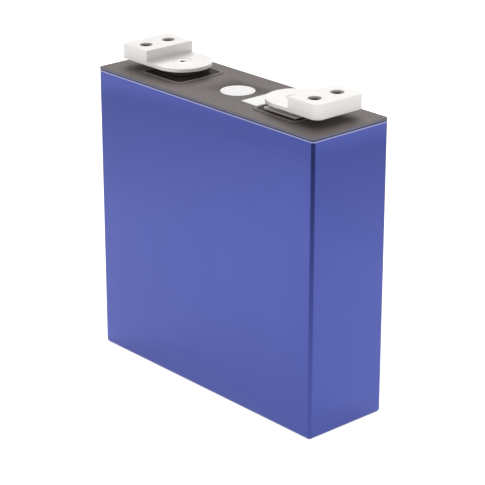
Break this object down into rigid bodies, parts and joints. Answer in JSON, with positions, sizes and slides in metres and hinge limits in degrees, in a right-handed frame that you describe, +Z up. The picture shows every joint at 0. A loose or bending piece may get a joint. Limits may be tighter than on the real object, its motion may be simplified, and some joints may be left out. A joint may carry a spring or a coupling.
{
  "type": "prismatic battery cell",
  "caption": "Upright film-wrapped prismatic lithium cell with an insulated top, a central vent and raised aluminium terminal blocks with tapped holes.",
  "frame": {"origin": "centre of the base, on the surface that the cell stands on", "axes": "+Z up, +X along the cell's width towards the negative terminal, +Y through its thickness"},
  "size_m": [0.174, 0.054, 0.1808],
  "materials": {
    "film_blue": "gloss",
    "sheet_grey": "matte",
    "base_sheet": "matte",
    "vent_film": "matte",
    "label_paper": "matte",
    "terminal_aluminium": "satin",
    "case_aluminium": "satin",
    "foil_aluminium": "satin",
    "copper": "satin",
    "clad_plate": "satin",
    "black_plastic": "matte",
    "white_plastic": "matte",
    "seal_rubber": "matte",
    "cathode_coating": "matte",
    "anode_coating": "matte",
    "separator_film": "matte",
    "green_tape": "satin",
    "bag_film": "satin"
  },
  "bodies": {
    "root": {"blank_label": "label_paper", "bottom_sheet": "base_sheet", "bottom_support": "white_plastic", "burst_disc": "foil_aluminium", "can": "case_aluminium", "cover_plate": "case_aluminium", "fill_cap": "foil_aluminium", "fill_plug": "seal_rubber", "front_core_anode": "anode_coating", "front_core_cathode": "cathode_coating", "front_core_separators": "separator_film", "front_core_tape": "green_tape", "front_negative_tabs": "copper", "front_positive_tabs": "foil_aluminium", "insulation_bag": "bag_film", "negative_collector": "copper", "negative_lower_insulator": "white_plastic", "negative_pole": "copper", "negative_seal": "seal_rubber", "negative_tab_tape": "green_tape", "negative_terminal": "terminal_aluminium", "negative_upper_insulator": "black_plastic", "positive_collector": "foil_aluminium", "positive_lower_insulator": "white_plastic", "positive_pole": "foil_aluminium", "positive_seal": "seal_rubber", "positive_tab_tape": "green_tape", "positive_terminal": "terminal_aluminium", "positive_upper_insulator": "black_plastic", "rear_core_anode": "anode_coating", "rear_core_cathode": "cathode_coating", "rear_core_separators": "separator_film", "rear_core_tape": "green_tape", "rear_negative_tabs": "copper", "rear_positive_tabs": "foil_aluminium", "top_sheet": "sheet_grey", "transition_plate": "clad_plate", "vent_baffle": "white_plastic", "vent_cover": "vent_film", "wrap_film": "film_blue"}
  },
  "joints": []
}
